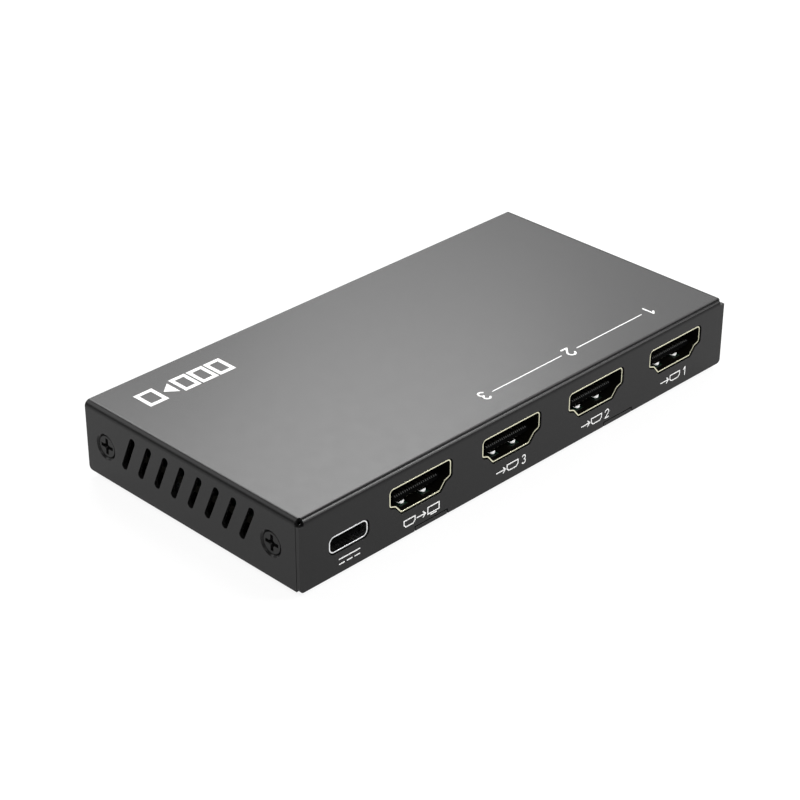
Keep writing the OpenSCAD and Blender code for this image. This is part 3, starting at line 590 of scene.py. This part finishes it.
def turned_screw():
    """Blackened screws: fine rings that the lathe left on each head, and painted shade in the gap round it.
    """
    material, tree, shader = new_finish("blackened_screw")
    axes = axes_of(tree)
    grain = place_group(tree, GRAIN, grain=0.06, cloud=1.0)
    edges = place_group(tree, EDGES, radius=0.05)
    centre, half = middle("side_screws"), half_size("side_screws")
    head_radius = half[2]
    from_head = away(tree, away(tree, axes["Y"], centre[1]), half[1] - head_radius)
    radius = radius_from(tree, from_head, maths(tree, "SUBTRACT", axes["Z"], centre[2]))
    # Painted shade: a near-black ring on the rim of each head, where it meets its hole.
    gap_shade = spread(tree, radius, 0.0, 1.0, head_radius - SCREW_GAP, head_radius - SCREW_GAP / 2)
    clean = shades(tree, grain["Cloud"], BLACKENED, dark=0.8, pale=1.2)
    gloss = noise_spread(tree, grain["Cloud"], low=0.3, high=0.38)
    rings = ring_waves(tree, radius, SCREW_RING)
    link(tree, between(tree, gap_shade, clean, rgba(BLACKENED, factor=0.1)), shader["Base Color"])
    link(tree, either(tree, gloss, gap_shade), shader["Roughness"])
    link(tree, bumped(tree, rings, depth=0.004, strength=0.3, normal=edges["Normal"]), shader["Normal"])
    shader["Specular IOR Level"].default_value = 0.16
    return material


def foot_rubber():
    """Matt black rubber with moulded rings under each foot."""
    material, tree, shader = new_finish("foot_rubber")
    axes = axes_of(tree)
    grain = place_group(tree, GRAIN, grain=0.12, cloud=2.0)
    edges = place_group(tree, EDGES, radius=0.08)
    centre, half = middle("rubber_feet"), half_size("rubber_feet")
    offsets = [away(tree, away(tree, axes[k], centre[k]), half[k] - FOOT_RADIUS) for k in (0, 1)]
    rings = ring_waves(tree, radius_from(tree, *offsets), FOOT_RING)
    height = maths(tree, "ADD", rings, maths(tree, "MULTIPLY", grain["Height"], RUBBER_GRAIN))
    link(tree, shades(tree, grain["Cloud"], RUBBER, dark=0.8, pale=1.3), shader["Base Color"])
    link(tree, noise_spread(tree, grain["Cloud"], low=0.7, high=0.85), shader["Roughness"])
    link(tree, bumped(tree, height, depth=0.03, strength=0.5, normal=edges["Normal"]), shader["Normal"])
    shader["Specular IOR Level"].default_value = 0.3
    return material


def coated_board():
    """Circuit board: dark green coating over patches of tracks, and bare fibre at its edges."""
    material, tree, shader = new_finish("coated_board")
    axes = axes_of(tree)
    grain = place_group(tree, GRAIN, grain=0.3, cloud=6.0)
    place = put(tree, "TexCoord").outputs["Object"]
    patch = put(tree, "TexVoronoi", {"Vector": place, "Scale": 1 / (PATCH * MM)}, distance="CHEBYCHEV")
    draw = put(tree, "SeparateColor", {0: patch.outputs["Color"]}).outputs
    lane = choice(tree, above(tree, draw[0], PATCH_CROSSWISE), axes["X"], axes["Y"])
    track = below(tree, maths(tree, "PINGPONG", lane, TRACK_PITCH / 2), TRACK_HALF)
    tracks = both(tree, track, above(tree, draw[1], PATCH_BARE))
    upward = put(tree, "SeparateXYZ", {0: put(tree, "NewGeometry").outputs["Normal"]}).outputs["Z"]
    edge = below(tree, maths(tree, "ABSOLUTE", upward), EDGE_UP)
    coat = between(tree, tracks, rgba(COATING), rgba(COATED_TRACK))
    fibre = shades(tree, grain["Cloud"], FIBRE, dark=0.8)
    link(tree, between(tree, edge, coat, fibre), shader["Base Color"])
    link(tree, spread(tree, edge, low=0.32, high=0.8), shader["Roughness"])
    link(tree, bumped(tree, tracks, depth=0.03, strength=0.5), shader["Normal"])
    shader["Specular IOR Level"].default_value = 0.45
    return material


def can_capacitor():
    """Bare aluminium cans on black bases, with a black print over one edge of their tops."""
    material, tree, shader = new_finish("capacitor_can")
    axes = axes_of(tree)
    grain = place_group(tree, GRAIN, grain=0.08, cloud=1.5)
    edges = place_group(tree, EDGES, radius=0.15)
    low, high = (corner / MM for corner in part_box("bulk_capacitors"))
    second = above(tree, axes["X"], (low.x + high.x) / 2)
    can_x = spread(tree, second, low.x + CAN_HALF, high.x - CAN_HALF)
    base = below(tree, axes["Z"], low.z + CAN_BASE)
    top = above(tree, axes["Z"], high.z - FACE_SKIN)
    printed = both(tree, top, below(tree, maths(tree, "SUBTRACT", axes["X"], can_x), -CAN_PRINT_EDGE))
    dark = either(tree, base, printed)
    metal = shades(tree, grain["Cloud"], CAN, dark=0.85)
    brushed = bumped(tree, grain["Height"], depth=0.01, strength=0.1, normal=edges["Normal"])
    link(tree, between(tree, dark, metal, rgba(CAN_PRINT)), shader["Base Color"])
    link(tree, opposite(tree, dark), shader["Metallic"])
    link(tree, noise_spread(tree, grain["Cloud"], low=0.28, high=0.4), shader["Roughness"])
    link(tree, brushed, shader["Normal"])
    return material


def tinned_ends(name, colour, rough, ends, mark=None):
    """A moulded body whose ends or leads are tinned metal, with a paler round mark where one is given.

    ends(tree, axes) gives the mask of the metal, and mark(tree, axes) that of the round mark.
    """
    material, tree, shader = new_finish(name)
    axes = axes_of(tree)
    grain = place_group(tree, GRAIN, grain=0.06, cloud=1.2)
    edges = place_group(tree, EDGES, radius=0.04)
    metal = ends(tree, axes)
    body = shades(tree, grain["Cloud"], colour, dark=0.85, pale=1.15)
    if mark is not None:
        body = between(tree, mark(tree, axes), body, rgba(colour, factor=MARK_PALER))
    tin = shades(tree, grain["Cloud"], TIN, dark=0.85)
    dull = noise_spread(tree, grain["Cloud"], low=rough - 0.05, high=rough + 0.05)
    brighter = maths(tree, "MULTIPLY", metal, rough - TIN_ROUGH)
    grit = bumped(tree, grain["Height"], depth=0.01, strength=0.15, normal=edges["Normal"])
    link(tree, between(tree, metal, body, tin), shader["Base Color"])
    link(tree, metal, shader["Metallic"])
    link(tree, maths(tree, "SUBTRACT", dull, brighter), shader["Roughness"])
    link(tree, grit, shader["Normal"])
    return material


def leads_beyond(node, body):
    """Mask of a chip's leads: what lies beyond its moulded body, whose half sizes along X and Y are given."""
    centre = middle(node)

    def ends(tree, axes):
        x, y = (above(tree, away(tree, axes[k], centre[k]), body[k]) for k in (0, 1))
        return either(tree, x, y)

    return ends


def first_corner(node, body, inset=1.0, radius=0.35):
    """Mask of the round mark at a chip's first lead, set in from its body's corner."""
    centre = middle(node)

    def mark(tree, axes):
        offsets = [maths(tree, "SUBTRACT", axes[k], centre[k] - body[k] + inset) for k in (0, 1)]
        return below(tree, radius_from(tree, *offsets), radius)

    return mark


def surge_ends(tree, axes):
    """Mask of the surge protectors' ends: each lies to one side of the middle of its socket."""
    across = maths(tree, "ABSOLUTE", socket_axes(tree)[0])
    return above(tree, away(tree, across, SURGE_ASIDE), SURGE_BODY)


def ceramic_ends(tree, axes):
    """Mask of the ceramic capacitors' ends, in rows along X or Y round the middle of their square."""
    centre = middle("ceramic_capacitors")
    x, y = (maths(tree, "SUBTRACT", axes[k], centre[k]) for k in (0, 1))
    row_along_x = above(tree, maths(tree, "ABSOLUTE", y), maths(tree, "ABSOLUTE", x))
    along = choice(tree, row_along_x, y, x)
    return above(tree, maths(tree, "PINGPONG", along, CERAMIC_PITCH / 2), CERAMIC_BODY)


def choke_ends(tree, axes):
    """Mask of the choke's two end clips, low on its sides."""
    centre, half = middle("power_inductor"), half_size("power_inductor")
    side = above(tree, away(tree, axes["X"], centre[0]), half[0] - FACE_SKIN)
    narrow = below(tree, away(tree, axes["Y"], centre[1]), CHOKE_CLIP / 2)
    return both(tree, side, narrow, below(tree, axes["Z"], centre[2]))


PAINTED = painted_steel()
INK = printed_ink()
INSULATOR_BLACK = socket_insulator()
GOLD_SHELL = socket_shell()
CONTACT = socket_contact()
PLAIN_STEEL = plated("zinc_plated_steel", ZINC, rough=0.3, along=(0.2, 0.2, 0.2))

FINISHES = {
    "top_cover": PAINTED,
    "bottom_tray": PAINTED,
    "side_screws": turned_screw(),
    "rubber_feet": foot_rubber(),
    "main_board": coated_board(),
    "board_standoffs": PLAIN_STEEL,
    "board_screws": PLAIN_STEEL,
    "usb_c_shell": plated("bright_steel_shell", BRIGHT_STEEL, rough=0.2, along=(0.05, 5.0, 0.05)),
    "usb_c_insulator": INSULATOR_BLACK,
    "usb_c_contacts": CONTACT,
    "switch_chip": tinned_ends(
        "switch_chip_epoxy", CHIP_BLACK, CHIP_ROUGH, leads_beyond("switch_chip", SWITCH_BODY),
        first_corner("switch_chip", half_size("switch_chip"))),
    "controller_chip": tinned_ends(
        "controller_epoxy", CHIP_BLACK, CHIP_ROUGH, leads_beyond("controller_chip", CONTROLLER_BODY),
        first_corner("controller_chip", CONTROLLER_BODY)),
    "voltage_regulator": tinned_ends(
        "regulator_epoxy", CHIP_BLACK, CHIP_ROUGH, leads_beyond("voltage_regulator", REGULATOR_BODY),
        first_corner("voltage_regulator", REGULATOR_BODY, inset=0.8, radius=0.25)),
    "esd_arrays": tinned_ends("surge_epoxy", CHIP_BLACK, CHIP_ROUGH, surge_ends),
    "ceramic_capacitors": tinned_ends("fired_ceramic", CERAMIC, rough=0.55, ends=ceramic_ends),
    "power_inductor": tinned_ends("pressed_ferrite", FERRITE, rough=0.7, ends=choke_ends),
    "thermal_pad": moulded("soft_pad", PAD_BLUE, rough=0.8, grain_size=0.1),
    "heat_sink": plated("bare_aluminium", ALUMINIUM, rough=0.35, along=(0.08, 6.0, 0.08)),
    "bulk_capacitors": can_capacitor(),
    "crystal": PLAIN_STEEL,
    "select_switch": moulded("switch_housing", SWITCH_BLACK, rough=0.55, grain_size=0.08),
    "switch_plunger": moulded("white_plastic", PLUNGER_WHITE, rough=0.45, grain_size=0.08),
    "select_button": moulded("button_plastic", BUTTON_BLACK, rough=0.42, grain_size=0.09),
    "status_leds": clear_plastic("lamp_resin", LAMP_AMBER, rough=0.3, clearness=0.3),
    "light_pipes": clear_plastic("frosted_acrylic", FROSTED, rough=0.3, clearness=0.5),
    "ir_receiver": clear_plastic("receiver_resin", RECEIVER_BLACK, rough=0.2, clearness=0.2),
    "ir_window": clear_plastic("window_acrylic", WINDOW_RED, rough=0.1, clearness=0.2),
}
for port in PORTS:
    FINISHES[f"hdmi_{port}_shell"] = GOLD_SHELL
    FINISHES[f"hdmi_{port}_insulator"] = INSULATOR_BLACK
    FINISHES[f"hdmi_{port}_contacts"] = CONTACT
for name, material in FINISHES.items():
    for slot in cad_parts[name].material_slots:
        slot.material = material


# Camera

def direction(azimuth, elevation):
    """The unit vector to a place at an azimuth from -Y towards +X and an elevation, in degrees."""
    a, e = math.radians(azimuth), math.radians(elevation)
    return Vector((math.sin(a) * math.cos(e), -math.cos(a) * math.cos(e), math.sin(e)))


def add_object(name, data):
    """A new object in the scene."""
    piece = bpy.data.objects.new(name, data)
    bpy.context.scene.collection.objects.link(piece)
    return piece


def fitted_camera():
    """The camera that the case's edges in the photograph give, placed from the case's underside."""
    roll = math.radians(CAMERA_ROLL)
    back = direction(CAMERA_AZIMUTH, CAMERA_ELEVATION)
    level = Vector((0, 0, 1)).cross(back).normalized()
    steep = back.cross(level)
    right = math.cos(roll) * level + math.sin(roll) * steep
    up = -math.sin(roll) * level + math.cos(roll) * steep
    data = bpy.data.cameras.new("photo_camera")
    data.sensor_width = SENSOR_WIDTH
    data.lens = CAMERA_FOCAL_PX / IMAGE_PX * SENSOR_WIDTH
    data.clip_start = CAMERA_NEAR * MM
    data.clip_end = CAMERA_FAR * MM
    camera = add_object("photo_camera", data)
    place = (right * CAMERA_AIM_RIGHT + up * CAMERA_AIM_UP + back * CAMERA_DISTANCE) * MM
    place.z += tray_low.z
    camera.matrix_world = Matrix.Translation(place) @ Matrix((right, up, back)).transposed().to_4x4()
    bpy.context.scene.camera = camera


# Studio

def seen_directly(tree):
    """1 for rays from the camera and for those that metal and glass send on, and 0 for light that spreads."""
    path = put(tree, "LightPath").outputs
    mirrored = either(tree, path["Is Glossy Ray"], path["Is Transmission Ray"])
    return either(tree, path["Is Camera Ray"], mirrored)


def floor_white():
    """White whose glow hides most of the shading, so that a faint shadow stays. It is clear from below."""
    material = bpy.data.materials.new("floor_white")
    material.use_nodes = True
    tree = material.node_tree
    tree.nodes.clear()
    glow = put(tree, "Emission", {"Color": WHITE, "Strength": FLOOR_GLOW}).outputs[0]
    shaded = put(tree, "BsdfDiffuse", {"Color": rgba((FLOOR_SHADE,) * 3)}).outputs[0]
    seen = put(tree, "AddShader", {0: glow, 1: shaded}).outputs[0]
    bounce = put(tree, "BsdfDiffuse", {"Color": rgba((FLOOR_BOUNCE,) * 3)}).outputs[0]
    upper = put(tree, "MixShader", {0: seen_directly(tree), 1: bounce, 2: seen}).outputs[0]
    from_below = put(tree, "NewGeometry").outputs["Backfacing"]
    clear = put(tree, "BsdfTransparent").outputs[0]
    surface = put(tree, "MixShader", {0: from_below, 1: upper, 2: clear}).outputs[0]
    output = put(tree, "OutputMaterial")
    link(tree, surface, output.inputs["Surface"])
    return material


def make_floor():
    """A square floor round the origin, just under the feet."""
    half = FLOOR_SIZE / 2 * MM
    low = -FLOOR_DROP * MM
    corners = [(-half, -half, low), (half, -half, low), (half, half, low), (-half, half, low)]
    mesh = bpy.data.meshes.new("floor")
    mesh.from_pydata(corners, [], [(0, 1, 2, 3)])
    mesh.materials.append(floor_white())
    add_object("floor", mesh)


def make_world():
    """Pale at the horizon and grey overhead where it is seen, and an even soft light where it isn't."""
    world = bpy.data.worlds.new("studio")
    bpy.context.scene.world = world
    world.use_nodes = True
    tree = world.node_tree
    tree.nodes.clear()
    height = put(tree, "SeparateXYZ", {0: put(tree, "TexCoord").outputs["Generated"]}).outputs["Z"]
    seen = spread(tree, height, SKY_RIM, SKY_TOP, *SKY_RISE)
    strength = choice(tree, seen_directly(tree), SKY_AMBIENT, seen)
    background = put(tree, "Background", {"Color": WHITE, "Strength": strength}).outputs[0]
    output = put(tree, "OutputWorld")
    link(tree, background, output.inputs["Surface"])


def make_soft_box(name, azimuth, elevation, distance, width, height, brightness):
    """An area lamp that faces the box. Its power gives the wanted brightness over its face."""
    data = bpy.data.lights.new(name, "AREA")
    data.shape = "RECTANGLE"
    data.size = width * MM
    data.size_y = height * MM
    data.energy = brightness * math.pi * data.size * data.size_y
    lamp = add_object(name, data)
    back = direction(azimuth, elevation)
    lamp.location = back * distance * MM
    lamp.rotation_euler = back.to_track_quat("Z", "Y").to_euler()
    lamp.visible_camera = False


fitted_camera()
make_floor()
make_world()
for name, values in SOFT_BOXES.items():
    make_soft_box(name, *values)
bpy.context.scene.view_settings.view_transform = "Standard"


# Printed marks: strokes and plates of ink in a panel's own plane, u across, v up and h out of it

def line(*points):
    """Straight steps through the points."""
    return np.array(points, float)


def arc(u, v, radius, start, end):
    """Points on a circle round (u, v), from one angle to another in degrees."""
    count = max(3, int(abs(end - start) / ARC_STEP) + 1)
    turn = np.radians(np.linspace(start, end, count))
    return np.column_stack([u + radius * np.cos(turn), v + radius * np.sin(turn)])


def left_of(steps):
    """Unit vectors to the left of each step."""
    return np.column_stack([-steps[:, 1], steps[:, 0]]) / np.linalg.norm(steps, axis=1)[:, None]


def ink_stroke(path, width, top, closed=False):
    """A flat stroke: the path's points moved left and right along the mitred normal by half the width.

    Beyond both ends of an open path the half width closes as a quarter circle, r sin a at r cos a. Each
    station has four corners, low and high on both sides, and neighbouring stations are joined into a tube.
    """
    half = np.full(len(path), width / 2)
    if not closed:
        turn = np.linspace(END_START, math.pi / 2, END_STEPS, endpoint=False)
        reach, cap = width / 2 * np.cos(turn)[:, None], width / 2 * np.sin(turn)
        first, last = path[0] - path[1], path[-1] - path[-2]
        before = path[0] + reach * first / np.linalg.norm(first)
        after = path[-1] + reach[::-1] * last / np.linalg.norm(last)
        path = np.vstack([before, path, after])
        half = np.concatenate([cap, half, cap[::-1]])
    count = len(path)
    ahead = np.roll(path, -1, 0) - path
    behind = path - np.roll(path, 1, 0)
    if not closed:
        ahead[-1], behind[0] = behind[-1], ahead[0]
    a, b = left_of(ahead), left_of(behind)
    aside = (a + b) / (1 + (a * b).sum(1))[:, None] * half[:, None]
    low, high = np.full(count, -INK_SINK), np.full(count, top)
    corners = np.stack([
        np.column_stack([path + aside, low]), np.column_stack([path + aside, high]),
        np.column_stack([path - aside, high]), np.column_stack([path - aside, low])], 1).reshape(-1, 3)
    here = np.arange(count if closed else count - 1) * 4
    there = (here + 4) % (4 * count)
    sides = [(j, (j + 1) % 4) for j in range(4)]
    faces = [np.column_stack([here + j, here + k, there + k, there + j]) for j, k in sides]
    if not closed:
        faces.append(np.array([[3, 2, 1, 0], 4 * (count - 1) + np.arange(4)]))
    return corners, faces


def ink_plate(outline, top):
    """A flat plate: the outline, taken anticlockwise, as a low and a high face joined by a wall."""
    count = len(outline)
    low, high = np.full(count, -INK_SINK), np.full(count, top)
    corners = np.vstack([np.column_stack([outline, low]), np.column_stack([outline, high])])
    here = np.arange(count)
    there = (here + 1) % count
    wall = np.column_stack([here, there, there + count, here + count])
    return corners, [wall, np.array([here[::-1], here + count])]


def print_marks(name, marks, origin, across, up):
    """One object for a panel's marks. Each mark is a kind, its points and its stroke width.

    A point (u, v, h) is put at origin + u across + v up + h out, in millimetres. Each mark is a hair thicker
    than the one before it, so no two faces lie in one plane.
    """
    out = np.cross(across, up)
    points, faces = [], []
    first = 0
    for step, (kind, shape, width) in enumerate(marks):
        top = INK_FILM + step * INK_PASS
        if kind == "plate":
            corners, loops = ink_plate(shape, top)
        else:
            corners, loops = ink_stroke(shape, width, top, kind == "ring")
        points.append(corners)
        for group in loops:
            faces += (group + first).tolist()
        first += len(corners)
    places = np.asarray(origin) + np.vstack(points) @ np.array([across, up, out], float) * MM
    mesh = bpy.data.meshes.new(name)
    mesh.from_pydata(places.tolist(), [], faces)
    mesh.materials.append(INK)
    piece = add_object(name, mesh)
    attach(piece, "case")


def strokes(paths, width=INK_LINE):
    """Marks of open strokes along the paths."""
    return [("stroke", path, width) for path in paths]


def ring(outline, width=INK_LINE):
    """The mark of a closed stroke along an outline."""
    return [("ring", outline, width)]


def plate(outline):
    """The mark of a filled outline."""
    return [("plate", outline, 0)]


def numeral(figure, u, v, height):
    """The strokes of a figure 1, 2 or 3, drawn in a cell of height 1, scaled and centred on (u, v)."""
    shapes = {
        1: [line((0.10, 0.76), (0.36, 1.0)), line((0.36, 1.0), (0.36, 0.0))],
        2: [np.vstack([arc(0.30, 0.70, 0.30, 165, -38), line((0.03, 0.0))]), line((0.03, 0.0), (0.61, 0.0))],
        3: [arc(0.29, 0.755, 0.245, 150, -80), arc(0.29, 0.26, 0.26, 80, -150)],
    }
    cell_middle = (0.31, 0.5)
    return [(stroke - cell_middle) * height + (u, v) for stroke in shapes[figure]]


def arrow(u, v, length):
    """An arrow to the right from (u, v): its shaft, which ends just short of the tip, and its open head."""
    tip = u + length
    head = line((tip - ARROW_HEAD, v + ARROW_HEAD), (tip, v), (tip - ARROW_HEAD, v - ARROW_HEAD))
    return [line((u, v), (tip - ARROW_GAP, v)), head]


def socket_outline(u, v, width):
    """The outline of a video socket's mouth, centred on (u, v): a rectangle with both lower corners cut."""
    half, low, high = width / 2, v - SOCKET_HEIGHT / 2, v + SOCKET_HEIGHT / 2
    step, foot = SOCKET_HEIGHT * SOCKET_STEP, half - width * SOCKET_FOOT
    return line(
        (u - foot, low), (u + foot, low), (u + half, low + step), (u + half, high), (u - half, high),
        (u - half, low + step))


def frame_outline(left, right, low, high):
    """The outline of a rectangle."""
    return line((left, low), (right, low), (right, high), (left, high))


def port_marks():
    """Signs under the sockets: direct current, a socket and a screen, and arrows into sockets 3 to 1."""
    u, v = middle("usb_c_insulator")[0], POWER_LABEL_Z
    bar, dash = v + CURRENT_GAP, v - CURRENT_GAP
    marks = strokes([line((u - CURRENT_HALF, bar), (u + CURRENT_HALF, bar))])
    dashes = [u + k * DASH_PITCH for k in (-1, 0, 1)]
    marks += strokes([line((d - DASH_HALF, dash), (d + DASH_HALF, dash)) for d in dashes])
    u, v = middle("hdmi_output_shell")[0], LABEL_Z
    start, length = OUTPUT_ARROW
    place, width = OUTPUT_SOCKET
    marks += ring(socket_outline(u + place, v, width))
    marks += strokes(arrow(u + start, v, length))
    marks += ring(frame_outline(*(u + s for s in SCREEN_SPAN), *(v + r for r in SCREEN_RISE)))
    marks += strokes([line(*((u + s, v + STAND_RISE) for s in STAND_SPAN))])
    start, length = INPUT_ARROW
    place, width = INPUT_SOCKET
    for figure in (3, 2, 1):
        u = middle(f"hdmi_input_{figure}_shell")[0]
        marks += strokes(arrow(u + start, v, length))
        marks += ring(socket_outline(u + place, v, width))
        marks += strokes(numeral(figure, u + INPUT_FIGURE, v, FIGURE_HEIGHT))
    print_marks("port_marks", marks, (0, case_low.y, 0), (1, 0, 0), (0, 0, 1))


def top_marks():
    """On the top plate, read from the control side: three frames into one, and a row of figures 1 to 3."""
    marks = []
    low, high = FRAME_ROW - FRAME_HALF, FRAME_ROW + FRAME_HALF
    for k in range(3):
        left = FRAME_START + FRAME_PITCH * k
        marks += ring(frame_outline(left, left + FRAME_WIDTH, low, high), INK_BOLD)
    base, tip = HEAD_SPAN
    marks += plate(line((base, FRAME_ROW - HEAD_HALF), (tip, FRAME_ROW), (base, FRAME_ROW + HEAD_HALF)))
    marks += ring(frame_outline(LAST_START, LAST_START + LAST_WIDTH, low, high), INK_BOLD)
    for figure in (1, 2, 3):
        u = -middle(f"hdmi_input_{figure}_shell")[0]
        marks += strokes(numeral(figure, u, FIGURE_ROW, ROW_HEIGHT), INK_ROW)
        if figure < 3:
            onward = -middle(f"hdmi_input_{figure + 1}_shell")[0]
            marks += strokes([line((u + ROW_GAP, FIGURE_ROW), (onward - ROW_GAP, FIGURE_ROW))])
    print_marks("top_marks", marks, (0, 0, case_high.z), (-1, 0, 0), (0, -1, 0))


def control_marks():
    """Signs on the control side: figures at the source lights, standby, infrared waves, and a step arrow."""
    low, high = (corner.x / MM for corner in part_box("light_pipes"))
    pitch = -(low + LIGHT_FOOT / 2)
    marks = []
    v = CONTROL_LABEL_Z
    for figure in (1, 2, 3):
        marks += strokes(numeral(figure, (figure - 2) * pitch, v, FIGURE_HEIGHT))
    u = LIGHT_FOOT / 2 - high
    marks += strokes([arc(u, v, STANDBY_RADIUS, *STANDBY_ARC), line(*((u, v + bar) for bar in STANDBY_BAR))])
    u = -middle("ir_window")[0]
    marks += strokes([arc(u, v - WAVE_DROP, radius, *WAVE_ARC) for radius in WAVE_RADII])
    u = -middle("select_button")[0]
    marks += strokes([arc(u, v - STEP_DROP, STEP_RADIUS, *STEP_ARC)])
    end, (aside, rise) = u + STEP_RADIUS, STEP_HEAD
    marks += plate(line((end - aside, v - rise), (end + aside, v - rise), (end, v + rise)))
    print_marks("control_marks", marks, (0, tray_high.y, 0), (-1, 0, 0), (0, 0, 1))


port_marks()
top_marks()
control_marks()
